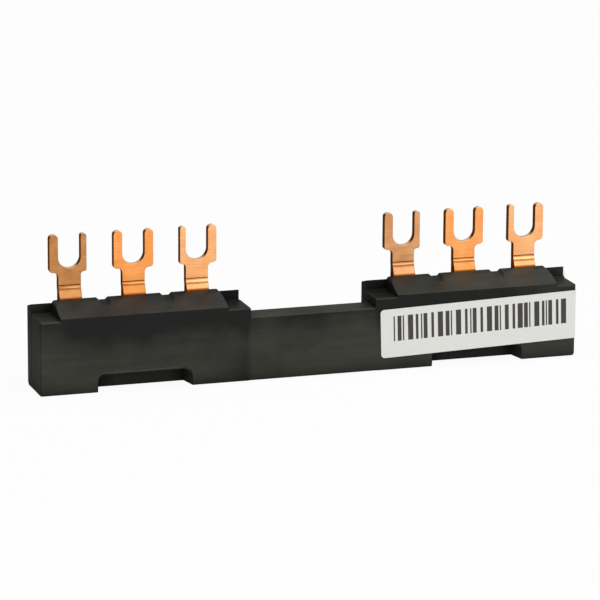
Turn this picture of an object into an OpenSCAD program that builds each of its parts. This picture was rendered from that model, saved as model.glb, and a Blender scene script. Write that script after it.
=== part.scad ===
// Three-phase fork busbar: a row of tap-off blocks on a joining strip. Three stamped copper
// combs lie behind one another in the body, and each sends one fork up through every block.
// The body stands on its underside, with the front face towards -Y and the row along X.

/* [Layout] */
// Number of tap-off blocks
taps = 2; // [2:1:5]
// Distance between neighbouring blocks
block_pitch = 72; // [60:1:90]
// Distance between neighbouring forks in a block
fork_pitch = 13.5; // [12:0.5:14.5]
// Width of the device that one block serves
module_w = 45; // [43:0.5:50]
// How far the body stops short of the device at each end
end_trim = 0.5; // [0:0.1:1]

/* [Body] */
// Depth over housing and cover
body_d = 10.6; // [10.4:0.1:12]
// Depth of the front housing, up to the seam
shell_d = 7.4; // [7.2:0.1:8]
// Height of the joining strip
strip_h = 13.45; // [12.6:0.05:15]
// Rise of the blocks' ledges above the strip
ledge_rise = 1.9; // [1:0.1:3]
// Wall in front of the conductors
front_wall = 0.7; // [0.5:0.05:1]
// Wall behind the conductors in the strip
rear_wall = 0.6; // [0.4:0.05:0.8]
// Wall above the conductors in the strip
roof = 1.1; // [1:0.1:1.5]
// Wall at each end of the conductor channel
end_wall = 1.2; // [0.8:0.1:2]
// Chamfer along the top front edges
edge_cut = 0.3; // [0.1:0.05:0.5]
// Bevel along the strip's top rear edge
strip_bevel = 0.8; // [0.2:0.1:0.9]
// How far the strip's front stands back from the blocks' front
strip_back = 0.14; // [0.05:0.01:0.3]
// Width of the slope that brings a block's front back to the strip
ease_w = 0.7; // [0.3:0.1:0.8]
// Radius of the upright front edges at the row's ends
end_r = 0.5; // [0.2:0.05:0.7]
// Radius of the edges along the ledges' ends
ledge_r = 0.15; // [0.1:0.05:0.6]
// Radius of the lower edge at the row's right end
foot_r = 0.75; // [0.2:0.05:1]
// Rise of the lip along the seam above the ledges
seam_rise = 0.25; // [0.1:0.05:0.4]
// Depth of that lip
seam_w = 0.5; // [0.3:0.1:1]
// Clearance around every inserted piece
fit_gap = 0.05; // [0.03:0.01:0.1]

/* [Hood] */
// Rise of the hood's front lip above the ledges
lip_rise = 0.45; // [0.4:0.05:1.2]
// Rise of the hood's top above the ledges
hood_rise = 2.75; // [2.4:0.05:3.5]
// Depth of the hood's top, forward of the seam
hood_flat = 2.4; // [1:0.1:3]
// Slope of that top and of the grooves down to the front, in degrees
hood_tilt = 6; // [0:1:8]
// Reach of the hood past its outer forks
hood_margin = 4.2; // [3.6:0.1:5]
// Radius of the hood's upper corners
hood_r = 0.7; // [0.3:0.1:1.2]
// Width of the floor of the grooves between the forks
groove_w = 1.3; // [0.8:0.1:2]
// How far the grooves lie to the left of the middle between two forks
groove_shift = 0.4; // [0:0.1:0.6]
// Depth of those grooves
groove_depth = 0.5; // [0.3:0.1:0.8]
// Widening of a groove towards its left edge
groove_slant = 0.6; // [0.3:0.1:1.2]
// Widening of a groove towards its right edge
groove_draft = 0.5; // [0.05:0.05:0.6]

/* [Rear cover] */
// Rise of the cover above the ledges at the seam
cover_rise = 2.2; // [1.2:0.1:2.4]
// Fall of the cover's top towards the rear
cover_fall = 0.95; // [0.3:0.05:1.2]
// Radius of the cover's upper rear edge
cover_top_r = 0.45; // [0.2:0.05:0.6]
// How far the cover stops short of a block's inner end
cover_inset = 0.4; // [0.1:0.1:0.8]
// Radius of the cover's lower rear edge
cover_r = 0.9; // [0.4:0.1:1.4]
// Rise of the tabs behind the forks above the hood
tab_rise = 1.5; // [0.8:0.1:1.8]
// Width of those tabs
tab_w = 4.4; // [3:0.1:4.8]

/* [Recess] */
// Width of the recess under each block
recess_w = 20; // [14:0.5:24]
// Height of the recess
recess_h = 3.25; // [2.5:0.05:3.8]
// Depth of the recess from the front
recess_d = 4.2; // [3:0.1:5]
// Radius of the recess's upper corners
recess_r = 1.8; // [0.8:0.1:2]
// Narrowing of the recess on each side towards its rear wall
recess_draft = 0.8; // [0.1:0.1:1.2]
// Height of the sloping lead-in over the recess
lead_h = 0.9; // [0.3:0.1:1]
// Depth of that lead-in
lead_d = 1.5; // [0.8:0.1:2.5]

/* [Conductors] */
// Thickness of the copper
copper_t = 1.4; // [1.2:0.05:1.55]
// Height of the bars in the channel
bar_h = 6.8; // [5:0.1:7]
// Thickness of the insulating sheets
sheet_t = 0.25; // [0.15:0.05:0.3]
// Width of the tongues below the forks
tongue_w = 4.8; // [4:0.1:5.4]
// Play of a tongue in the hood on each side
tongue_play = 0.25; // [0.05:0.05:0.4]
// Distance of the forks' front from the body's front
fork_set = 8.8; // [8.2:0.1:9]
// Inner radius of the bends
bend_r = 1; // [0.6:0.1:1.4]
// Rise of the lower bend above the bar
bend_start = 0.6; // [0.4:0.1:1]
// End of the upper bend above the hood, for each phase
bend_end = [2.4, 2.3, 2]; // [1.6:0.1:2.6]
// Lean of the tongues where they leave the hood, in degrees from upright
lean = 23; // [16:1:28]
// Depth of the hidden knee below the hood's top
knee_depth = 0.4; // [0.3:0.1:0.8]
// Depth of the lower press mark below the upper bend's end, for each phase
mark_drop = [0.65, 0.55, 0.8]; // [0.4:0.05:0.9]
// Rise of the upper press mark above that end
mark_rise = 0.05; // [0:0.05:0.5]
// Width of the press marks
mark_w = 0.32; // [0.2:0.02:0.4]
// Depth of the press marks
mark_depth = 0.08; // [0.03:0.01:0.1]

/* [Forks] */
// Rise of the forks' shoulders above the hood
shoulder_rise = 5.25; // [4:0.05:8]
// Rise of the slot's foot above the shoulders
slot_rise = 0.8; // [0.4:0.1:2]
// Length of the slot
slot_len = 7.1; // [6:0.05:10]
// Width of the slot
slot_w = 4.7; // [4.4:0.1:5]
// Width of a prong
prong_w = 1.87; // [1.6:0.01:2.2]
// Width of the prongs that face the middle fork
prong_in = 1.27; // [1:0.01:1.6]
// Radius of the shoulders' outer corners
shoulder_r = 0.75; // [0.3:0.05:0.9]
// Radius of the neck's corners under the shoulders
neck_r = 1; // [0.4:0.1:1.2]

/* [Label] */
// Distance of the label from the block's inner end
label_inset = 1.3; // [0.8:0.1:4]
// Height of the label's lower left corner
label_foot = 2.55; // [1:0.05:3]
// Height of the label
label_h = 10.3; // [8:0.1:10.5]
// Length of the label on the end face
label_wrap = 6.8; // [2:0.1:7]
// Tilt of the label, in degrees
label_tilt = 1.7; // [0:0.1:2]
// Radius of the label's corners
label_r = 0.8; // [0.3:0.1:1.5]
// Thickness of the label
label_t = 0.1; // [0.05:0.01:0.2]

/* [Hidden] */
$fn = 48;
// Steps in a drawn arc
arc_steps = 8;
// Reach of a cut past the face that it opens
over = 1;
// Share of a shoulder's width that its two curves may take up
shoulder_fill = 0.95;

body_black = "#2b2b29";
copper = "#d98a4e";
sheet_tan = "#d9cfae";
paper_white = "#e2e2dd";

// Heights from the underside
ledge_h = strip_h + ledge_rise;
lip_h = ledge_h + lip_rise;
hood_h = ledge_h + hood_rise;
cover_h = ledge_h + cover_rise;
tab_h = hood_h + tab_rise;
// Rise of the hood's slope per depth
ramp = (hood_h - hood_flat * tan(hood_tilt) - lip_h) / (shell_d - hood_flat);
channel_top = strip_h - roof;
bar_top = channel_top - fit_gap;
bar_foot = bar_top - bar_h;
channel_foot = bar_foot - fit_gap;
shoulder_h = hood_h + shoulder_rise;
slot_foot = shoulder_h + slot_rise;
slot_mid = slot_foot + slot_w / 2;
tip_h = slot_foot + slot_len;
bend_start_h = bar_top + bend_start;

// Depths from the front face
layer_pitch = copper_t + sheet_t + 2 * fit_gap;
stack_d = front_wall + 3 * layer_pitch - sheet_t;
strip_d = stack_d + rear_wall;
fork_mid = fork_set + copper_t / 2;
bend_mid = bend_r + copper_t / 2;
mark_r = (pow(mark_w / 2, 2) + pow(mark_depth, 2)) / (2 * mark_depth);

// Places along the row
phases = [0, 1, 2];
block_x = [for (i = [0 : taps - 1]) (i - (taps - 1) / 2) * block_pitch];
row_half = block_x[taps - 1] + module_w / 2 - end_trim;
hood_w = 2 * (fork_pitch + hood_margin);
channel_half = row_half - end_wall;
function block_left(i) = max(-row_half, block_x[i] - module_w / 2);
function block_right(i) = min(row_half, block_x[i] + module_w / 2);
function cover_left(i) = block_left(i) + (i > 0 ? cover_inset : 0);
function cover_right(i) = block_right(i) - (i < taps - 1 ? cover_inset : 0);
function fork_x(phase) = (phase - 1) * fork_pitch;

// Phase 0 has the rear bar and phase 2 the front one.
function bar_mid(phase) = front_wall + fit_gap + copper_t / 2 + (2 - phase) * layer_pitch;
function bend_end_h(phase) = hood_h + bend_end[phase];

// A tongue jogs back from its bar to the fork plane through three bends. These are their centres
// in depth and height: the lower bend, the hidden knee, and the upper bend behind the hood.
function bend_low(phase) = [bar_mid(phase) + bend_mid, bend_start_h];
function bend_high(phase) = [fork_mid - bend_mid, bend_end_h(phase)];
function lean_len(phase) = (bend_end[phase] + knee_depth - bend_mid * sin(lean)) / cos(lean);
function bend_knee(phase) = bend_high(phase) - lean_len(phase) * [sin(lean), cos(lean)];

// Angle from upright of the run between the lower bend and the knee, along their cross tangent
function run_angle(phase) =
  let (step = bend_knee(phase) - bend_low(phase))
    atan2(2 * bend_mid, sqrt(step * step - pow(2 * bend_mid, 2))) + atan2(step[0], step[1]);

function arc(centre, r, from, to) = [
  for (i = [0 : arc_steps])
    let (a = from + (to - from) * i / arc_steps)
      centre + r * [cos(a), -sin(a)]
];

// Line of a bent tongue in depth and height, at a distance in front of its middle
function tongue_line(phase, front, foot, top) = concat(
  [[bar_mid(phase) - front, foot]],
  arc(bend_low(phase), -bend_mid - front, 0, run_angle(phase)),
  arc(bend_knee(phase), bend_mid - front, run_angle(phase), lean),
  arc(bend_high(phase), bend_mid - front, lean, 0),
  [[fork_mid - front, top]]
);

function reversed(list) = [for (i = [len(list) - 1 : -1 : 0]) list[i]];

// Moves the body's mid-depth onto the origin
module centred() {
  translate([0, -body_d / 2, 0])
    children();
}

// Carries a depth-and-height shape along the row
module along_row(x0, x1) {
  translate([x0, 0, 0])
    rotate([90, 0, 90])
      linear_extrude(x1 - x0)
        children();
}

// Carries a front-view shape through a depth
module through(y0, y1) {
  translate([0, y1, 0])
    rotate([90, 0, 0])
      linear_extrude(y1 - y0)
        children();
}

// Rectangle with two round upper corners
module arch(x0, x1, y0, y1, r) {
  translate([x0, y0])
    square([x1 - x0, y1 - y0 - r]);
  translate([x0 + r, y0])
    square([x1 - x0 - 2 * r, y1 - y0]);
  for (x = [x0 + r, x1 - r])
    translate([x, y1 - r])
      circle(r);
}

// What lies outside a round lower right corner that is centred on the origin
module outside_corner(r) {
  difference() {
    translate([0, -r - over])
      square(r + over);
    circle(r);
  }
}

// Front view of one prong with its round tip
module prong(x0, x1) {
  r = (x1 - x0) / 2;
  translate([x0, slot_mid])
    square([x1 - x0, tip_h - r - slot_mid]);
  translate([x0 + r, tip_h - r])
    circle(r);
}

// Right half of a fork's head, with the curve from the neck out to the shoulder
module half_head(half) {
  shrink = min(1, shoulder_fill * (half - tongue_w / 2) / (neck_r + shoulder_r));
  inner = neck_r * shrink;
  outer = shoulder_r * shrink;
  prong(slot_w / 2, half);
  difference() {
    union() {
      translate([0, shoulder_h])
        square([half, slot_mid - shoulder_h]);
      translate([0, shoulder_h - inner])
        square([tongue_w / 2 + inner, inner]);
    }
    translate([tongue_w / 2 + inner, shoulder_h - inner])
      circle(inner);
    translate([half - outer, shoulder_h + outer])
      outside_corner(outer);
  }
}

// Front view of one fork on its tongue, from the bar up
module fork_outline(phase) {
  left = slot_w / 2 + (phase == 2 ? prong_in : prong_w);
  right = slot_w / 2 + (phase == 0 ? prong_in : prong_w);
  difference() {
    union() {
      translate([-tongue_w / 2, bar_foot])
        square([tongue_w, slot_mid - bar_foot]);
      half_head(right);
      mirror([1, 0])
        half_head(left);
    }
    translate([0, slot_mid])
      circle(slot_w / 2);
    translate([-slot_w / 2, slot_mid])
      square([slot_w, slot_len]);
  }
}

// Round mark that the bending tool leaves across a tongue's front, square to the face
module press_mark(phase, drop, rise) {
  on_bend = min(drop, bend_r * sin(lean));
  translate([0, bend_high(phase)[0], bend_high(phase)[1] + rise])
    rotate([-asin(on_bend / bend_r), 0, 0])
      translate([0, bend_r - mark_r + mark_depth, (on_bend - drop) / cos(lean)])
        rotate([0, 90, 0])
          cylinder(h = tongue_w + 2 * over, r = mark_r, center = true);
}

// One phase: the sheet seen from the front, kept where the bent sheet runs in depth
module conductor(phase) {
  color(copper)
    centred()
      difference() {
        intersection() {
          through(0, body_d) {
            translate([block_x[0] + fork_x(phase) - tongue_w / 2, bar_foot])
              square([block_pitch * (taps - 1) + tongue_w, bar_h]);
            for (x = block_x)
              translate([x + fork_x(phase), 0])
                fork_outline(phase);
          }
          along_row(-row_half, row_half)
            polygon(
              concat(
                tongue_line(phase, copper_t / 2, bar_foot - over, tip_h + over),
                reversed(tongue_line(phase, -copper_t / 2, bar_foot - over, tip_h + over))
              )
            );
        }
        at_tongues(phase) {
          press_mark(phase, mark_drop[phase], 0);
          press_mark(phase, 0, mark_rise);
        }
      }
}

module conductor_l1() {
  conductor(0);
}

module conductor_l2() {
  conductor(1);
}

module conductor_l3() {
  conductor(2);
}

// Sheet in front of the bar of one phase
module insulator(phase) {
  sheet_y = bar_mid(phase) - copper_t / 2 - fit_gap - sheet_t;
  color(sheet_tan)
    centred()
      translate([fit_gap - channel_half, sheet_y, bar_foot])
        cube([2 * (channel_half - fit_gap), sheet_t, bar_h]);
}

module insulator_front() {
  insulator(1);
}

module insulator_rear() {
  insulator(0);
}

// Repeats its children at every tongue of one phase
module at_tongues(phase) {
  for (x = block_x)
    translate([x + fork_x(phase), 0, 0])
      children();
}

// Plan of a block, with a front that eases back to the strip at the inner ends
module block_plan(i) {
  ease_out = strip_back * (1 + over / ease_w);
  to_left = i > 0;
  to_right = i < taps - 1;
  polygon([
    [block_left(i) - over, to_left ? ease_out : 0],
    [block_left(i) + (to_left ? ease_w : 0), 0],
    [block_right(i) - (to_right ? ease_w : 0), 0],
    [block_right(i) + over, to_right ? ease_out : 0],
    [block_right(i) + over, shell_d],
    [block_left(i) - over, shell_d]
  ]);
}

// Ledge over the whole block with the lip along the seam, and the sloping hood on it
module block(i) {
  intersection() {
    along_row(block_left(i), block_right(i))
      polygon([
        [0, 0],
        [shell_d, 0],
        [shell_d, ledge_h],
        [edge_cut, ledge_h],
        [0, ledge_h - edge_cut]
      ]);
    through(0, shell_d)
      arch(block_left(i), block_right(i), 0, ledge_h, ledge_r);
    linear_extrude(ledge_h)
      block_plan(i);
  }
  along_row(cover_left(i), cover_right(i))
    translate([shell_d - seam_w, 0])
      square([seam_w, ledge_h + seam_rise]);
  intersection() {
    along_row(block_left(i), block_right(i))
      polygon([
        [0, strip_h],
        [shell_d, strip_h],
        [shell_d, lip_h + ramp * shell_d],
        [0, lip_h]
      ]);
    on_hood_top(block_x[i])
      arch(-hood_w / 2, hood_w / 2, strip_h - hood_h - over, 0, hood_r);
  }
}

// Carries a front-view shape through the hood along its sloping top, from that top's rear edge
module on_hood_top(x) {
  translate([x, shell_d, hood_h])
    rotate([hood_tilt, 0, 0])
      through(-shell_d - over, over)
        children();
}

// Groove between two caps of the hood, with slanted sides
module hood_groove(x) {
  slope_over = 1 + over / groove_depth;
  on_hood_top(x - groove_shift)
    polygon([
      [-groove_w / 2, -groove_depth],
      [groove_w / 2, -groove_depth],
      [groove_w / 2 + groove_draft * slope_over, over],
      [-groove_w / 2 - groove_slant * slope_over, over]
    ]);
}

// Recess under a block, narrower towards its rear wall, with a lead-in that slopes down to it
module recess(x) {
  half = recess_w / 2;
  splay = recess_draft * over / recess_d;
  slope = atan2(lead_h, lead_d);
  intersection() {
    through(-over, recess_d)
      arch(x - half - splay, x + half + splay, -over, recess_h, recess_r);
    translate([x, 0, -over])
      linear_extrude(recess_h + 2 * over)
        polygon([
          [-half - splay, -over],
          [half + splay, -over],
          [half - recess_draft, recess_d],
          [recess_draft - half, recess_d]
        ]);
  }
  translate([0, 0, recess_h + lead_h])
    rotate([-slope, 0, 0])
      through(-over, lead_h / sin(slope))
        arch(x - half, x + half, -recess_h, 0, recess_r);
}

// Cut that rounds the lower edge at the row's right end
module foot_cut() {
  translate([row_half - foot_r, 0, foot_r])
    through(-over, body_d + over)
      outside_corner(foot_r);
}

// Cut that rounds the upright front edge at the row's right end
module end_cut() {
  translate([row_half - end_r, end_r, -over])
    linear_extrude(ledge_h + 2 * over)
      outside_corner(end_r);
}

module front_housing() {
  color(body_black)
    centred()
      difference() {
        union() {
          for (i = [0 : taps - 1])
            block(i);
          along_row(block_x[0], block_x[taps - 1])
            polygon([
              [strip_back, 0],
              [strip_d, 0],
              [strip_d, strip_h - strip_bevel],
              [strip_d - strip_bevel, strip_h],
              [strip_back + edge_cut, strip_h],
              [strip_back, strip_h - edge_cut]
            ]);
        }
        translate([-channel_half, front_wall, channel_foot])
          cube([2 * channel_half, body_d, channel_top - channel_foot]);
        for (phase = phases)
          at_tongues(phase)
            along_row(-tongue_w / 2 - tongue_play, tongue_w / 2 + tongue_play)
              polygon(
                concat(
                  tongue_line(phase, copper_t / 2 + fit_gap, bar_foot, tip_h),
                  [[body_d + over, tip_h], [body_d + over, bar_foot]]
                )
              );
        for (x = block_x) {
          hood_groove(x - fork_pitch / 2);
          hood_groove(x + fork_pitch / 2);
          recess(x);
        }
        foot_cut();
        end_cut();
        mirror([1, 0, 0])
          end_cut();
      }
}

// Section of the cover behind a block, with a top that falls to the rear and round rear edges
module cover_section() {
  fall = atan2(cover_fall, body_d - shell_d);
  y = body_d - cover_top_r;
  z = cover_h - (y - shell_d) * tan(fall) - cover_top_r / cos(fall);
  polygon([
    [shell_d, 0],
    [body_d - cover_r, 0],
    [body_d, cover_r],
    [body_d, z],
    [y + cover_top_r * sin(fall), z + cover_top_r * cos(fall)],
    [shell_d, cover_h]
  ]);
  translate([body_d - cover_r, cover_r])
    circle(cover_r);
  translate([y, z])
    circle(cover_top_r);
}

module rear_cover() {
  rail_half = channel_half - fit_gap;
  color(body_black)
    centred()
      difference() {
        union() {
          translate([-rail_half, stack_d, bar_foot])
            cube([2 * rail_half, strip_d - stack_d, bar_h]);
          for (i = [0 : taps - 1]) {
            plug_left = max(cover_left(i), -rail_half);
            plug_right = min(cover_right(i), rail_half);
            translate([plug_left, stack_d, bar_foot])
              cube([plug_right - plug_left, body_d - stack_d - cover_r, bar_h]);
            along_row(cover_left(i), cover_right(i))
              cover_section();
          }
          for (phase = phases)
            at_tongues(phase)
              along_row(-tab_w / 2, tab_w / 2)
                translate([shell_d, ledge_h])
                  square([body_d - shell_d, tab_h - ledge_h]);
        }
        for (phase = phases)
          at_tongues(phase)
            along_row(-tongue_w / 2 - fit_gap, tongue_w / 2 + fit_gap)
              polygon(
                concat(
                  tongue_line(phase, -copper_t / 2 - fit_gap, channel_top, tip_h),
                  [[-over, tip_h], [-over, channel_top]]
                )
              );
        foot_cut();
      }
}

// Front view of the label laid flat
module label_outline(length) {
  rotate(label_tilt)
    difference() {
      square([length, label_h]);
      for (x = [0, 1], y = [0, 1])
        translate([x == 0 ? label_r : length - label_r, y == 0 ? label_r : label_h - label_r])
          mirror([1 - x, 0])
            mirror([0, y])
              outside_corner(label_r);
    }
}

// Label on the front of the last block, turned round the end edge onto the end face
module label() {
  label_x = block_left(taps - 1) + label_inset;
  flat_len = row_half - end_r - label_x;
  length = (flat_len + label_wrap) / cos(label_tilt);
  color(paper_white)
    centred()
      translate([0, 0, label_foot]) {
        translate([label_x, 0, 0])
          through(-label_t, 0)
            intersection() {
              label_outline(length);
              translate([-label_h, -label_h])
                square([label_h + flat_len, 3 * label_h]);
            }
        translate([row_half - end_r, end_r, flat_len * tan(label_tilt)])
          rotate(-90)
            rotate_extrude(angle = 90)
              translate([end_r, 0])
                square([label_t, label_h / cos(label_tilt)]);
        translate([row_half, end_r, 0])
          along_row(0, label_t)
            intersection() {
              translate([-flat_len, 0])
                label_outline(length);
              translate([0, -label_h])
                square([2 * label_wrap, 3 * label_h]);
            }
      }
}

front_housing();
rear_cover();
conductor_l1();
conductor_l2();
conductor_l3();
insulator_front();
insulator_rear();
label();
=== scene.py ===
# %% [markdown]
# # A three-phase fork busbar
# The part is a black moulded body with two tap-off blocks on a joining strip. Three stamped copper
# combs lie inside it, and each sends one fork up through every block. The solids come from CAD and
# already have their true shape and place, so this lesson is about looks: edges that catch light,
# moulded plastic, bare copper, a paper label, and a plain white stage.

# %% Load the frame
import math

import bpy
import numpy as np
from mathutils import Matrix, Vector


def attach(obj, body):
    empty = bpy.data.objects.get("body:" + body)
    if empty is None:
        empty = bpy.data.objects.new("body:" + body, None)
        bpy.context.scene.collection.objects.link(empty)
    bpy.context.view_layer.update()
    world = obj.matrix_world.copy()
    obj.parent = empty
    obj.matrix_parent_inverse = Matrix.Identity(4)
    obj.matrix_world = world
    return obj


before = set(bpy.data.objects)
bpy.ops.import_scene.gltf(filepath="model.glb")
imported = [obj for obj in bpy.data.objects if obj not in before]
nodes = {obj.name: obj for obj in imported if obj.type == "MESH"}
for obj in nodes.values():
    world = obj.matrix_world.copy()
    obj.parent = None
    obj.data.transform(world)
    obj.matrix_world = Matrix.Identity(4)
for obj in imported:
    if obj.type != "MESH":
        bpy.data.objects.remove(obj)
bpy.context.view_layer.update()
scene = bpy.context.scene
print("nodes:", ", ".join(sorted(nodes)))

# %% [markdown]
# ## Small helpers
# A colour is easiest to choose as a hex value, as a paint program shows it. Shaders count light in
# linear amounts, so one function turns the hex value to linear. Patterns are worked out from a real
# size in millimetres, because a texture's scale is the number of its features in one metre. One more
# function adds a node with its values and links, and a linked node stands for its first output.

# %% Sizes and colours
MM = 0.001


def linear(hex_colour):
    """Linear RGBA of an sRGB hex value: each channel goes through the sRGB curve."""
    channels = [int(hex_colour[i:i + 2], 16) / 255 for i in (1, 3, 5)]
    return (*[c / 12.92 if c <= 0.04045 else ((c + 0.055) / 1.055) ** 2.4 for c in channels], 1.0)


def features(size_mm):
    """Texture scale at which one feature is size_mm wide: features in one metre."""
    return 1000.0 / size_mm


WHITE = linear("#ffffff")
print("linear mid grey:", round(linear("#808080")[0], 3))


# %% Nodes and materials
def add_node(tree, kind, links=None, inputs=None, **settings):
    """Adds one node, sets its options and input values, and links the named inputs to their sources."""
    made = tree.nodes.new(kind)
    for name, value in settings.items():
        setattr(made, name, value)
    for name, value in (inputs or {}).items():
        made.inputs[name].default_value = value
    for name, source in (links or {}).items():
        output = source.outputs[0] if isinstance(source, bpy.types.Node) else source
        tree.links.new(output, made.inputs[name])
    return made


def new_material(name):
    """An empty node material and its tree."""
    material = bpy.data.materials.new(name)
    material.use_nodes = True
    material.node_tree.nodes.clear()
    return material, material.node_tree


def dress(obj, material):
    """Gives an object one material and prints which."""
    obj.data.materials.clear()
    obj.data.materials.append(material)
    print(material.name, "on", obj.name)


# %% [markdown]
# ## The camera
# The photograph was taken from a little to the left and above, with a long lens. A camera fitted to
# the object's straight edges gave its turn, tilt, roll and distance. The three axes of the camera
# are built from those angles, and the focal length in pixels becomes a lens for a 36 mm sensor.

# %% Camera
YAW, TILT, ROLL = (math.radians(a) for a in (18.075, 13.919, 0.344))
AIM = Vector((-3.024, -5.3, 16.302)) * MM
DISTANCE = 804.4 * MM
FOCAL_PX, FRAME_PX, SENSOR_MM = 3917.2, 600, 36.0
NEAREST, FARTHEST = 0.05, 20

back = Vector((-math.sin(YAW) * math.cos(TILT), -math.cos(YAW) * math.cos(TILT), math.sin(TILT)))
side = Vector((math.cos(YAW), -math.sin(YAW), 0))
up = back.cross(side)
cam_x = math.cos(ROLL) * side + math.sin(ROLL) * up
cam_y = math.cos(ROLL) * up - math.sin(ROLL) * side

lens = bpy.data.cameras.new("photo_camera")
lens.sensor_width = SENSOR_MM
lens.lens = FOCAL_PX * SENSOR_MM / FRAME_PX
lens.clip_start, lens.clip_end = NEAREST, FARTHEST
camera = bpy.data.objects.new("photo_camera", lens)
turn = Matrix((cam_x, cam_y, back)).transposed().to_4x4()
camera.matrix_world = Matrix.Translation(AIM + back * DISTANCE) @ turn
scene.collection.objects.link(camera)
scene.camera = camera
print("lens:", round(lens.lens, 2), "mm at", round(DISTANCE, 3), "m")

# %% [markdown]
# ## The stage
# The ground is one flat sheet, far larger than the part, so the camera sees nothing else behind it.
# A sheet is a grid of points, worked out as one array and put into a mesh at once.

# %% Floor
FLOOR_REACH, FLOOR_POINTS = 3.0, 9


def sheet_grid(u, v, height):
    """Points of a level sheet: u runs along X, v along Y, and every point has the same height."""
    uu, vv = np.meshgrid(u, v, indexing="ij")
    return np.stack([uu, vv, np.full_like(uu, height)], axis=-1).reshape(-1, 3)


def grid_faces(rows, columns):
    """Four-cornered faces of a grid: each joins a point with its next in both directions."""
    corner = (np.arange(rows - 1)[:, None] * columns + np.arange(columns - 1)).reshape(-1)
    return np.stack([corner, corner + columns, corner + columns + 1, corner + 1], axis=-1)


def new_piece(name, points, faces):
    """Puts arrays of points and faces into a new mesh object at the origin."""
    mesh = bpy.data.meshes.new(name)
    mesh.from_pydata(points.tolist(), [], faces.tolist())
    mesh.update()
    piece = bpy.data.objects.new(name, mesh)
    scene.collection.objects.link(piece)
    return piece


steps = np.linspace(-FLOOR_REACH, FLOOR_REACH, FLOOR_POINTS)
floor = new_piece("floor", sheet_grid(steps, steps, 0.0), grid_faces(FLOOR_POINTS, FLOOR_POINTS))
print("floor:", len(floor.data.polygons), "faces")

# %% [markdown]
# ## White ground
# The ground is white paper to lamps. To the camera and to mirror-like surfaces most of its light is
# its own, which keeps the ground white and leaves a soft shadow under the part. The kind of ray that
# asks decides which of the two it gets, so the part itself gets no more light.

# %% White paper
FLOOR_GLOW = 0.93

paper, tree = new_material("white_ground")
ray = add_node(tree, "ShaderNodeLightPath")
seen = ray.outputs["Is Camera Ray"]
for kind in ("Is Glossy Ray", "Is Transmission Ray"):
    seen = add_node(tree, "ShaderNodeMath", {0: seen, 1: ray.outputs[kind]}, operation="MAXIMUM")
share = add_node(tree, "ShaderNodeMath", {0: seen}, {1: FLOOR_GLOW}, operation="MULTIPLY")
matt = add_node(tree, "ShaderNodeBsdfDiffuse", inputs={"Color": linear("#f6f6f6")})
glow = add_node(tree, "ShaderNodeEmission", inputs={"Color": WHITE, "Strength": 1.0})
mixed = add_node(tree, "ShaderNodeMixShader", {0: share, 1: matt, 2: glow})
add_node(tree, "ShaderNodeOutputMaterial", {"Surface": mixed})
floor.data.materials.append(paper)
print("ground: own light", FLOOR_GLOW, "of white")

# %% [markdown]
# ## The light
# Soft studio light has no hard shadow edge, because each lamp is larger than the part. A wide panel
# overhead gives most of it. Two more stand at the front, one on each side: the left one lifts the
# front faces, and the right one is what the upright copper mirrors to the camera. A dim room fills
# the rest.

# %% Lamps and room
ROOM_LIGHT = 0.2


def panel(name, spot, width, watts):
    """A square lamp at spot that faces the part."""
    lamp = bpy.data.lights.new(name, "AREA")
    lamp.size = width
    lamp.energy = watts
    holder = bpy.data.objects.new(name, lamp)
    holder.location = spot
    holder.rotation_mode = "QUATERNION"
    holder.rotation_quaternion = (AIM - Vector(spot)).to_track_quat("-Z", "Y")
    scene.collection.objects.link(holder)
    print(name, watts, "W,", width, "m wide")


panel("panel_overhead", spot=(0.1, -0.25, 1.3), width=2.0, watts=17.0)
panel("panel_front_left", spot=(-0.5, -1.4, 0.7), width=1.3, watts=3.0)
panel("panel_front_right", spot=(0.6, -1.4, 0.5), width=1.0, watts=7.0)

room = bpy.data.worlds.new("grey_room")
room.use_nodes = True
tree = room.node_tree
tree.nodes.clear()
fill = add_node(tree, "ShaderNodeBackground", inputs={"Color": WHITE, "Strength": ROOM_LIGHT})
add_node(tree, "ShaderNodeOutputWorld", {"Surface": fill})
scene.world = room
scene.view_settings.view_transform = "Standard"

# %% [markdown]
# ## Edges that catch light
# No moulded or stamped edge is a perfect knife edge, and its small radius is what draws a bright line
# along it. The CAD mesh is loose triangles, so its corners are first welded and its flat triangles
# merged. A bevel then rounds each sharp edge, and weighted normals keep the large faces flat. A radius
# stays below the shortest edges of its piece, because a wider bevel folds over them.

# %% Edge rounding
SHARP_DEG, FLAT_DEG = 35, 0.05
ROUND_STEPS, FLAT_WEIGHT = 3, 100


def round_edges(name, radius_mm, weld_mm=0.002):
    """Rounds every sharp edge of a CAD node with modifiers. Points within weld_mm become one."""
    piece = nodes[name]
    weld = piece.modifiers.new("weld", "WELD")
    weld.merge_threshold = weld_mm * MM
    merge = piece.modifiers.new("merge_flats", "DECIMATE")
    merge.decimate_type = "DISSOLVE"
    merge.angle_limit = math.radians(FLAT_DEG)
    bevel = piece.modifiers.new("round", "BEVEL")
    bevel.width = radius_mm * MM
    bevel.segments = ROUND_STEPS
    bevel.limit_method = "ANGLE"
    bevel.angle_limit = math.radians(SHARP_DEG)
    bevel.use_clamp_overlap = False
    shade = piece.modifiers.new("even_normals", "WEIGHTED_NORMAL")
    shade.weight = FLAT_WEIGHT
    print(name, "edges rounded to", radius_mm, "mm")


round_edges("front_housing", radius_mm=0.07)
round_edges("rear_cover", radius_mm=0.05, weld_mm=0.02)
for phase in ("l1", "l2", "l3"):
    round_edges("conductor_" + phase, radius_mm=0.1)

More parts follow.
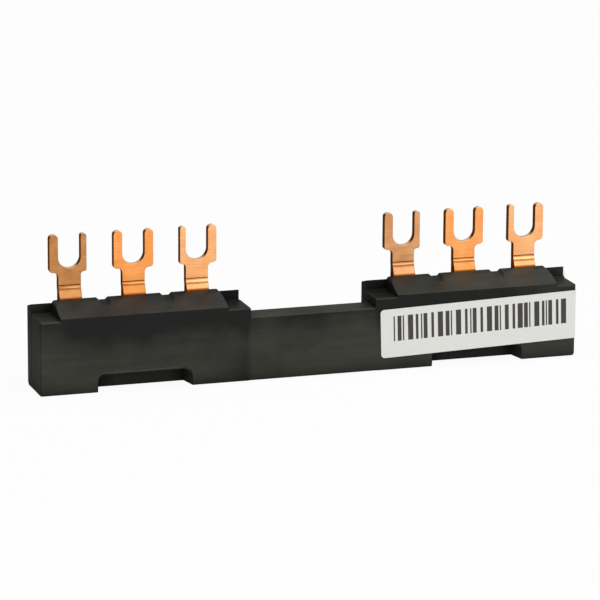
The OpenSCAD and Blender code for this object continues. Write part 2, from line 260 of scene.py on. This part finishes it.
# %% [markdown]
# ## The body's plastic
# The body is glass-filled polyamide, moulded in a spark-eroded tool. That leaves a fine even grain,
# which turns the shine satin, and a grey bloom that varies in soft patches. A flat pattern would
# stretch at the corners, so the finish is worked out from where a point lies on the part and which way
# its surface faces. The first cell measures both: how far along the row a point lies, and how much the
# surface looks up, to an end of the row, or to the front or rear.

# %% Moulded polyamide: place and direction
UPWARD = {"From Min": 0.2, "From Max": 0.7}
ENDWARD = {"From Min": 0.6, "From Max": 0.9}
FRONTWARD = {"From Min": 0.3, "From Max": 0.6}

body, tree = new_material("moulded_polyamide")
coords = add_node(tree, "ShaderNodeTexCoord")
place = coords.outputs["Object"]
spot = add_node(tree, "ShaderNodeSeparateXYZ", {0: place})
along = add_node(tree, "ShaderNodeMath", {0: spot.outputs["X"]}, operation="ABSOLUTE")
facing = add_node(tree, "ShaderNodeSeparateXYZ", {0: coords.outputs["Normal"]})
upward = add_node(tree, "ShaderNodeMapRange", {"Value": facing.outputs["Z"]}, UPWARD)
endward = add_node(tree, "ShaderNodeMath", {0: facing.outputs["X"]}, operation="ABSOLUTE")
endward = add_node(tree, "ShaderNodeMapRange", {"Value": endward}, ENDWARD)
frontward = add_node(tree, "ShaderNodeMath", {0: facing.outputs["Y"]}, operation="ABSOLUTE")
frontward = add_node(tree, "ShaderNodeMapRange", {"Value": frontward}, FRONTWARD)
print("measures of place and direction:", len(tree.nodes), "nodes")

# %% [markdown]
# ### Bloom, painted light and flow lines
# Bloom is a soft cloud with slow changes added to it. Painted light and shade are added to it as well:
# the walls are painted darker towards their tops, the right half lighter towards its right end, the
# tops lighter and the ends darker, as the lamps light and shade them. The strip is lighter than where
# the blocks start, and the blocks grow lighter towards their outer ends. The melt also leaves faint
# lines as it flows along the row: a noise that is stretched that way.

# %% Moulded polyamide: bloom, painted light and shade, and flow lines
BLOOM_MM, FLOW_MM = 11.0, 1.1
WALL_LOW, WALL_HIGH = 8 * MM, 14 * MM
STRIP_END, BLOCK_START, BLOCK_END = 13.2 * MM, 14.4 * MM, 58 * MM
# Changes by place: painted shade darkens the walls towards their tops, painted light lifts the right end,
# and the strip and the blocks' outer ends are lighter.
BLOOM_AND_SHADE_BY_PLACE = (
    (spot.outputs["Z"], {"From Min": WALL_LOW, "From Max": WALL_HIGH, "To Min": 0.18, "To Max": -0.28}),
    (spot.outputs["X"], {"From Min": 0.0, "From Max": BLOCK_END, "To Min": 0.0, "To Max": 0.3}),
    (along, {"From Min": STRIP_END, "From Max": BLOCK_START, "To Min": 0.12, "To Max": -0.12}),
    (along, {"From Min": BLOCK_START, "From Max": BLOCK_END, "To Min": 0.0, "To Max": 0.2}),
)
# Painted light and shade by direction: the tops lighter, the ends darker.
SHADE_BY_DIRECTION = ((upward, 0.36), (endward, -0.1))
BLOOM_AND_SHADE_RANGE = {"From Min": 0.3, "From Max": 0.8}
ALONG_ROW = (0.08, 1.0, 1.0)
FLOW_RANGE = {"From Min": 0.35, "From Max": 0.65, "To Min": 0.9, "To Max": 1.1}
DARK, BLOOMED_AND_LIT = linear("#0f0f0e"), linear("#34342d")

bloom_and_shade = add_node(tree, "ShaderNodeTexNoise", {"Vector": place},
                 {"Scale": features(BLOOM_MM), "Detail": 3.0})
for measure, change in BLOOM_AND_SHADE_BY_PLACE:
    change = add_node(tree, "ShaderNodeMapRange", {"Value": measure}, change)
    bloom_and_shade = add_node(tree, "ShaderNodeMath", {0: bloom_and_shade, 1: change}, operation="ADD")
for mask, amount in SHADE_BY_DIRECTION:
    bloom_and_shade = add_node(tree, "ShaderNodeMath", {0: mask, 2: bloom_and_shade}, {1: amount}, operation="MULTIPLY_ADD")
bloom_and_shade = add_node(tree, "ShaderNodeMapRange", {"Value": bloom_and_shade}, BLOOM_AND_SHADE_RANGE)
stretch = add_node(tree, "ShaderNodeMapping", {"Vector": place}, {"Scale": ALONG_ROW})
flow = add_node(tree, "ShaderNodeTexNoise", {"Vector": stretch},
                {"Scale": features(FLOW_MM), "Detail": 2.0})
flow = add_node(tree, "ShaderNodeMapRange", {"Value": flow}, FLOW_RANGE)
tone = add_node(tree, "ShaderNodeMixRGB", {0: bloom_and_shade}, {1: DARK, 2: BLOOMED_AND_LIT})
tone = add_node(tree, "ShaderNodeVectorMath", {0: tone, 1: flow}, operation="MULTIPLY")
print("bloom from", len(BLOOM_AND_SHADE_BY_PLACE), "places and", len(SHADE_BY_DIRECTION), "directions")

# %% [markdown]
# ### Seam dirt and painted shade in corners
# The seam between the two mouldings holds dirt, which is darker and duller than the rest. The corners
# get painted shade, darker and duller too, where ambient occlusion finds them, because little of the
# sky is open to them. The distance from the seam's plane finds the seam, except on faces that lie in
# that plane.

# %% Moulded polyamide: dirt in the seam, painted shade in the corners
SEAM = 2.1 * MM
SEAM_LINE = {"From Min": 0.1 * MM, "From Max": 0.4 * MM, "To Min": 0.1}
CORNER_REACH, CORNER_SAMPLES = 4 * MM, 4
OPEN_SKY = {"From Min": 0.25, "From Max": 0.85}
# One dark colour for the seam's dirt and for the painted shade in the corners.
DIRT_AND_SHADE = linear("#050505")

seam = add_node(tree, "ShaderNodeMath", {0: spot.outputs["Y"]}, {1: SEAM}, operation="SUBTRACT")
seam = add_node(tree, "ShaderNodeMath", {0: seam}, operation="ABSOLUTE")
seam = add_node(tree, "ShaderNodeMapRange", {"Value": seam}, SEAM_LINE)
seam = add_node(tree, "ShaderNodeMath", {0: seam, 1: frontward}, operation="MAXIMUM")
# Ambient occlusion places the painted shade in the corners.
sky = add_node(tree, "ShaderNodeAmbientOcclusion", inputs={"Distance": CORNER_REACH},
               samples=CORNER_SAMPLES)
sky = add_node(tree, "ShaderNodeMapRange", {"Value": sky.outputs["AO"]}, OPEN_SKY)
clean_and_unshaded = add_node(tree, "ShaderNodeMath", {0: seam, 1: sky}, operation="MINIMUM")
tone = add_node(tree, "ShaderNodeMixRGB", {0: clean_and_unshaded, 2: tone}, {1: DIRT_AND_SHADE})
print("seam at", round(SEAM / MM, 2), "mm, corners within", round(CORNER_REACH / MM, 2), "mm")

# %% [markdown]
# ### Satin shine
# The grain is really about 0.1 mm wide and is drawn a few times coarser here, so that it shows. It
# varies the roughness and raises a slight relief. Rubbed tops are smoother than the walls and mirror
# the copper softly, while the ends, the seam's dirt and the shaded corners are duller. The grain
# scatters most of the shine, so the specular level is low.

# %% Moulded polyamide: shine
GRAIN_MM, GRAIN_DEPTH = 0.45, 0.05 * MM
ROUGH_RANGE = {"To Min": 0.6, "To Max": 0.76}
ROUGH_BY_DIRECTION = ((upward, -0.34), (endward, 0.25))
DULLED_IN_SEAM_AND_CORNERS = {"To Min": 0.35, "To Max": 0.0}

grain = add_node(tree, "ShaderNodeTexNoise", {"Vector": place},
                 {"Scale": features(GRAIN_MM), "Detail": 2.0})
rough = add_node(tree, "ShaderNodeMapRange", {"Value": grain}, ROUGH_RANGE)
for mask, amount in ROUGH_BY_DIRECTION:
    rough = add_node(tree, "ShaderNodeMath", {0: mask, 2: rough}, {1: amount}, operation="MULTIPLY_ADD")
dulled = add_node(tree, "ShaderNodeMapRange", {"Value": clean_and_unshaded}, DULLED_IN_SEAM_AND_CORNERS)
rough = add_node(tree, "ShaderNodeMath", {0: rough, 1: dulled}, operation="ADD", use_clamp=True)
relief = add_node(tree, "ShaderNodeBump", {"Height": grain}, {"Strength": 0.2, "Distance": GRAIN_DEPTH})
shader = add_node(tree, "ShaderNodeBsdfPrincipled",
                  {"Base Color": tone, "Roughness": rough, "Normal": relief},
                  {"IOR": 1.5, "Specular IOR Level": 0.22})
add_node(tree, "ShaderNodeOutputMaterial", {"Surface": shader})
for name in ("front_housing", "rear_cover"):
    dress(nodes[name], body)

# %% [markdown]
# ## Bare copper
# The combs are stamped from rolled copper strip. Rolling leaves fine lines along the strip, which are
# drawn a few times coarser than real ones, so that they show. Each fork has a clean colour and a
# tarnished one of its own, and soft patches choose between them.

# %% Rolled faces
ROLL_MM, TARNISH_MM = 0.25, 3.0
ALONG_STRIP = (0.015, 1.0, 1.0)
TARNISH_RANGE = {"From Min": 0.35, "From Max": 0.65}
STREAK_RANGE = {"From Min": 0.3, "From Max": 0.7, "To Min": 0.88, "To Max": 1.08}


def rolled_faces(tree, place, left, right):
    """Rolling lines, and the faces' colour: patches of tarnish, made lighter and darker by the lines.
    left and right hold the clean and the tarnished colour of a comb's two forks."""
    rolled = add_node(tree, "ShaderNodeMapping", {"Vector": place}, {"Scale": ALONG_STRIP})
    lines = add_node(tree, "ShaderNodeTexNoise", {"Vector": rolled},
                     {"Scale": features(ROLL_MM), "Detail": 3.0})
    patch = add_node(tree, "ShaderNodeTexNoise", {"Vector": place},
                     {"Scale": features(TARNISH_MM), "Detail": 2.0})
    patch = add_node(tree, "ShaderNodeMapRange", {"Value": patch}, TARNISH_RANGE)
    spot = add_node(tree, "ShaderNodeSeparateXYZ", {0: place})
    block = add_node(tree, "ShaderNodeMath", {0: spot.outputs["X"]}, {1: 0.0}, operation="GREATER_THAN")
    clean_and_unshaded, dull = [add_node(tree, "ShaderNodeMixRGB", {0: block}, {1: linear(a), 2: linear(b)})
                   for a, b in zip(left, right)]
    tone = add_node(tree, "ShaderNodeMixRGB", {0: patch, 1: clean_and_unshaded, 2: dull})
    streak = add_node(tree, "ShaderNodeMapRange", {"Value": lines}, STREAK_RANGE)
    tone = add_node(tree, "ShaderNodeVectorMath", {0: tone, 1: streak}, operation="MULTIPLY")
    return lines, tone


print("rolling lines:", round(features(ROLL_MM) * MM, 1), "in a millimetre")

# %% [markdown]
# ### Sheared sides and painted edge shade
# The press shears the outline, and the cut sides are rougher than the faces. They are painted brown,
# partly the sheared copper's own colour and partly painted shade, and the painted shade runs on over the
# rounded left edges. The tips and the bottoms of the slots are rubbed, and get a painted highlight of
# pale copper, so the colour follows the direction that the surface faces. Below the forks the tongues
# lean, and only their left and right sides count as cut.

# %% Sheared sides and painted edge shade
FORK_FOOT = 22 * MM
SHADED_LEFT_EDGE = {"From Min": -0.25, "From Max": -0.6}
SIDE_CUT = {"From Min": 0.8, "From Max": 0.97}
FORK_CUT = {"From Min": 0.45, "From Max": 0.2}
SIDEWAYS = {"From Min": 0.55, "From Max": 0.85, "To Min": 1.0, "To Max": 0.0}


def sheared_sides_and_edge_shade(tree, height, normal):
    """Masks of all cut sides and left edges, and of the brown ones, which face neither up nor down: brown
    partly for the cut copper and partly as painted shade.
    """
    leftward = add_node(tree, "ShaderNodeSeparateXYZ", {0: normal})
    # Left-facing edges get painted shade.
    shaded_left_edge = add_node(tree, "ShaderNodeMapRange", {"Value": leftward.outputs["X"]}, SHADED_LEFT_EDGE)
    facing = add_node(tree, "ShaderNodeVectorMath", {0: normal}, operation="ABSOLUTE")
    facing = add_node(tree, "ShaderNodeSeparateXYZ", {0: facing})
    on_fork = add_node(tree, "ShaderNodeMath", {0: height}, {1: FORK_FOOT}, operation="GREATER_THAN")
    fork_cut = add_node(tree, "ShaderNodeMapRange", {"Value": facing.outputs["Y"]}, FORK_CUT)
    fork_cut = add_node(tree, "ShaderNodeMath", {0: fork_cut, 1: on_fork}, operation="MULTIPLY")
    cut_and_left_edges = add_node(tree, "ShaderNodeMapRange", {"Value": facing.outputs["X"]}, SIDE_CUT)
    for more in (fork_cut, shaded_left_edge):
        cut_and_left_edges = add_node(tree, "ShaderNodeMath", {0: cut_and_left_edges, 1: more}, operation="MAXIMUM")
    sideways = add_node(tree, "ShaderNodeMapRange", {"Value": facing.outputs["Z"]}, SIDEWAYS)
    brown_and_shade = add_node(tree, "ShaderNodeMath", {0: cut_and_left_edges, 1: sideways}, operation="MULTIPLY")
    return cut_and_left_edges, brown_and_shade


print("forks start at", round(FORK_FOOT / MM, 2), "mm")

# %% [markdown]
# ### Press marks and painted foot shadow
# The press that bends a fork leaves two marks across it, drawn as brown lines, and the foot gets a
# painted shadow where it leaves the plastic. Both lie at a known height on the part, so the height
# alone places them.

# %% Press marks and painted foot shadow
HOOD_TOP, SHADOW_RISE = 18.1 * MM, 0.25 * MM
# Painted shadow on the foot, where it leaves the plastic.
FOOT_SHADOW = {"From Min": HOOD_TOP, "From Max": HOOD_TOP + SHADOW_RISE, "To Min": 1.0, "To Max": 0.0}
MARK_REACH, MARK_STRENGTH = 0.17 * MM, 0.55


def marks_and_foot_shadow(tree, height, marks):
    """Mask of the painted shadow on the foot, full up to the hood's top and none a little above it, and a
    line at each mark.
    """
    marks_and_shadow = add_node(tree, "ShaderNodeMapRange", {"Value": height}, FOOT_SHADOW)
    for mark in marks:
        line = add_node(tree, "ShaderNodeMath", {0: height}, {1: mark * MM, 2: MARK_REACH},
                        operation="COMPARE")
        line = add_node(tree, "ShaderNodeMath", {0: line}, {1: MARK_STRENGTH}, operation="MULTIPLY")
        marks_and_shadow = add_node(tree, "ShaderNodeMath", {0: line, 1: marks_and_shadow}, operation="MAXIMUM")
    return marks_and_shadow


print("press marks:", round(2 * MARK_REACH / MM, 2), "mm wide")

# %% [markdown]
# ### The three combs
# One function puts the copper together, and a table gives each comb its own shades. The part of a fork
# below the lower press mark leans to the light, so its colour is darkened there as painted shade. A
# metal's colour is the colour of its mirror image, and a tint warms what it mirrors at a low angle.

# %% Shades of the combs
# Clean and tarnished colour of the left fork and of the right one, brightness of the foot as painted
# shade, and heights of the press marks in millimetres
COMBS = {
    "l1": (("#cc9058", "#b87a48"), ("#e0a473", "#cf9160"), 0.86, (19.85, 20.55)),
    "l2": (("#ffa95f", "#f79c52"), ("#ffb06c", "#fba259"), 0.62, (19.85, 20.45)),
    "l3": (("#ffbd82", "#f8ae70"), ("#ffbf84", "#f8b074"), 0.78, (19.3, 20.15)),
}
print("combs:", ", ".join(COMBS))

# %% Stamped copper
# Brown with painted shade for the sides, pale copper as a painted highlight on rubbed tips, and brown for
# the press marks and the painted foot shadow.
SHEARED_AND_SHADED, RUBBED_HIGHLIGHT, MARKS_AND_FOOT_SHADOW = "#6e4222", "#ffe2c4", "#8a4c1c"
FACE_ROUGH, CUT_ROUGHER, ROLL_DEPTH = {"To Min": 0.25, "To Max": 0.4}, 0.4, 0.03 * MM


def stamped_copper(name, left, right, foot, marks):
    """Copper of one comb: rolled faces with a painted shade on the foot, press marks and a painted foot
    shadow, pale copper as a painted highlight on rubbed tips, and brown sides with painted shade laid over
    them. foot is the brightness below the lower press mark, a painted shade, and marks holds both marks'
    heights in mm."""
    material, tree = new_material(name)
    coords = add_node(tree, "ShaderNodeTexCoord")
    place, normal = coords.outputs["Object"], coords.outputs["Normal"]
    height = add_node(tree, "ShaderNodeSeparateXYZ", {0: place}).outputs["Z"]
    lines, tone = rolled_faces(tree, place, left, right)
    # Below the lower press mark the colour is darkened by foot: painted shade.
    above = add_node(tree, "ShaderNodeMath", {0: height}, {1: marks[0] * MM}, operation="GREATER_THAN")
    shade = add_node(tree, "ShaderNodeMapRange", {"Value": above}, {"To Min": foot})
    tone = add_node(tree, "ShaderNodeVectorMath", {0: tone, 1: shade}, operation="MULTIPLY")
    cut_and_left_edges, brown_and_shade = sheared_sides_and_edge_shade(tree, height, normal)
    # Cut sides that face up or down get pale copper: rubbed, with a painted highlight.
    rubbed_highlight = add_node(tree, "ShaderNodeMath", {0: cut_and_left_edges, 1: brown_and_shade}, operation="SUBTRACT")
    # Painted foot shadow with the press marks, a painted highlight on rubbed tips, and brown with painted
    # shade on the sides.
    layers = (marks_and_foot_shadow(tree, height, marks), MARKS_AND_FOOT_SHADOW), (rubbed_highlight, RUBBED_HIGHLIGHT), (brown_and_shade, SHEARED_AND_SHADED)
    for mask, colour in layers:
        tone = add_node(tree, "ShaderNodeMixRGB", {0: mask, 1: tone}, {2: linear(colour)})
    rough = add_node(tree, "ShaderNodeMapRange", {"Value": lines}, FACE_ROUGH)
    rough = add_node(tree, "ShaderNodeMath", {0: cut_and_left_edges, 2: rough}, {1: CUT_ROUGHER}, operation="MULTIPLY_ADD")
    relief = add_node(tree, "ShaderNodeBump", {"Height": lines}, {"Strength": 0.06, "Distance": ROLL_DEPTH})
    shader = add_node(tree, "ShaderNodeBsdfPrincipled",
                      {"Base Color": tone, "Roughness": rough, "Normal": relief},
                      {"Metallic": 1.0, "Specular Tint": linear("#c8a890")})
    add_node(tree, "ShaderNodeOutputMaterial", {"Surface": shader})
    return material


for phase, shades in COMBS.items():
    dress(nodes["conductor_" + phase], stamped_copper("copper_" + phase, *shades))

# %% [markdown]
# ## Insulating film
# Two thin sheets of polyester film keep the combs apart inside the body. They are hidden, and are
# finished for anyone who takes the part open: pale, and slightly streaked as drawn film is. A noise
# stretched along the row gives the streaks, which also vary the gloss.

# %% Polyester film
DRAWN_MM, ALONG_FILM = 0.8, (0.1, 1.0, 1.0)

film, tree = new_material("polyester_film")
place = add_node(tree, "ShaderNodeTexCoord").outputs["Object"]
stretch = add_node(tree, "ShaderNodeMapping", {"Vector": place}, {"Scale": ALONG_FILM})
drawn = add_node(tree, "ShaderNodeTexNoise", {"Vector": stretch},
                 {"Scale": features(DRAWN_MM), "Detail": 2.0})
tone = add_node(tree, "ShaderNodeMixRGB", {0: drawn}, {1: linear("#e0d7b8"), 2: linear("#cfc39c")})
rough = add_node(tree, "ShaderNodeMapRange", {"Value": drawn}, {"To Min": 0.25, "To Max": 0.4})
shader = add_node(tree, "ShaderNodeBsdfPrincipled", {"Base Color": tone, "Roughness": rough}, {"IOR": 1.6})
add_node(tree, "ShaderNodeOutputMaterial", {"Surface": shader})
for name in ("insulator_front", "insulator_rear"):
    dress(nodes[name], film)

# %% [markdown]
# ## The paper label
# The label is coated white paper on the front of the right block. Its fibres give a faint mottling,
# and the coating a soft sheen with hardly any relief. One noise makes all three, at the size of a
# flock of fibres, because a single fibre is too fine to show.

# %% Label paper
FIBRE_MM, FIBRE_DEPTH = 0.5, 0.02 * MM

label_paper, tree = new_material("coated_label_paper")
place = add_node(tree, "ShaderNodeTexCoord").outputs["Object"]
fibre = add_node(tree, "ShaderNodeTexNoise", {"Vector": place},
                 {"Scale": features(FIBRE_MM), "Detail": 4.0})
tone = add_node(tree, "ShaderNodeMixRGB", {0: fibre}, {1: linear("#e6e6e2"), 2: linear("#dcdcd7")})
rough = add_node(tree, "ShaderNodeMapRange", {"Value": fibre}, {"To Min": 0.5, "To Max": 0.65})
relief = add_node(tree, "ShaderNodeBump", {"Height": fibre}, {"Strength": 0.1, "Distance": FIBRE_DEPTH})
shader = add_node(tree, "ShaderNodeBsdfPrincipled",
                  {"Base Color": tone, "Roughness": rough, "Normal": relief}, {"IOR": 1.45})
add_node(tree, "ShaderNodeOutputMaterial", {"Surface": shader})
dress(nodes["label"], label_paper)

# %% [markdown]
# ## Print on the label
# A label printer melts a thin dark layer onto the paper. A drawn texture would blur at this size, so
# each bar is a closed box that stands a hundredth of a millimetre proud of the paper. The widths and
# gaps come from the fractional parts of two irrational steps, which never settle into a rhythm.

# %% Widths of the bars
BAR_COUNT, BARS_LENGTH = 30, 38.4
WIDEST_BAR, WIDEST_GAP = 4, 3
WIDTH_STEP, GAP_STEP, GAP_START = 0.618034, 0.754878, 0.4


def bar_edges(count, length):
    """Left and right edge of each bar: widths and gaps of one to a few units, scaled to the length."""
    n = np.arange(count)
    width = 1 + np.floor(WIDEST_BAR * np.mod(WIDTH_STEP * n, 1))
    pitch = width + 1 + np.floor(WIDEST_GAP * np.mod(GAP_STEP * n + GAP_START, 1))
    left = np.concatenate([[0.0], np.cumsum(pitch)[:-1]])
    unit = length / (left[-1] + width[-1])
    return left * unit, (left + width) * unit


bar_left, bar_right = bar_edges(BAR_COUNT, BARS_LENGTH)
bar_widths = bar_right - bar_left
print(BAR_COUNT, "bars,", bar_widths.min().round(2), "to", bar_widths.max().round(2), "mm wide")

# %% [markdown]
# The label sits a little askew, so the bars are laid out along its lower edge first, in millimetres
# from its lower left corner. Turning them by the label's tilt then puts them on the paper.

# %% Printed bars
LABEL_CORNER = (14.8, -5.4, 2.55)
LABEL_TILT = math.radians(1.7)
BARS_LEFT, BARS_FOOT, BARS_TOP = 2.8, 3.4, 8.75
INK_FRONT, INK_REAR = -0.012, 0.004


def upright_boxes(left, right, foot, top, front, rear):
    """Eight corners of each box: every left or right edge, with both heights and both depths."""
    u, v, y = np.broadcast_arrays(np.stack([left, right], axis=-1)[:, :, None, None],
                                  np.array([foot, top])[:, None], np.array([front, rear]))
    return np.stack([u, y, v], axis=-1).reshape(-1, 3)


def box_faces(count):
    """Six faces of each box, outwards, as places in its own eight corners."""
    one = np.array([(0, 4, 6, 2), (1, 3, 7, 5), (0, 2, 3, 1), (4, 5, 7, 6), (0, 1, 5, 4), (2, 6, 7, 3)])
    return (8 * np.arange(count)[:, None, None] + one).reshape(-1, 4)


laid = upright_boxes(bar_left, bar_right, BARS_FOOT, BARS_TOP, INK_FRONT, INK_REAR)
u, y, v = (laid + (BARS_LEFT, 0, 0)).T
points = np.stack([u * math.cos(LABEL_TILT) - v * math.sin(LABEL_TILT), y,
                   u * math.sin(LABEL_TILT) + v * math.cos(LABEL_TILT)], axis=-1) + LABEL_CORNER
bars = new_piece("printed_bars", points * MM, box_faces(BAR_COUNT))
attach(bars, "root")
print("bars:", BAR_COUNT, "in", len(bars.data.polygons), "faces")

# %% [markdown]
# The print is a dark wax, not quite even, because it melts off its ribbon in tiny dots.

# %% Thermal print
MOTTLE_MM = 0.9

ink, tree = new_material("thermal_print")
place = add_node(tree, "ShaderNodeTexCoord").outputs["Object"]
mottle = add_node(tree, "ShaderNodeTexNoise", {"Vector": place},
                  {"Scale": features(MOTTLE_MM), "Detail": 3.0})
tone = add_node(tree, "ShaderNodeMixRGB", {0: mottle}, {1: linear("#2f2c28"), 2: linear("#454039")})
rough = add_node(tree, "ShaderNodeMapRange", {"Value": mottle}, {"To Min": 0.5, "To Max": 0.7})
shader = add_node(tree, "ShaderNodeBsdfPrincipled", {"Base Color": tone, "Roughness": rough}, {"IOR": 1.45})
add_node(tree, "ShaderNodeOutputMaterial", {"Surface": shader})
dress(bars, ink)
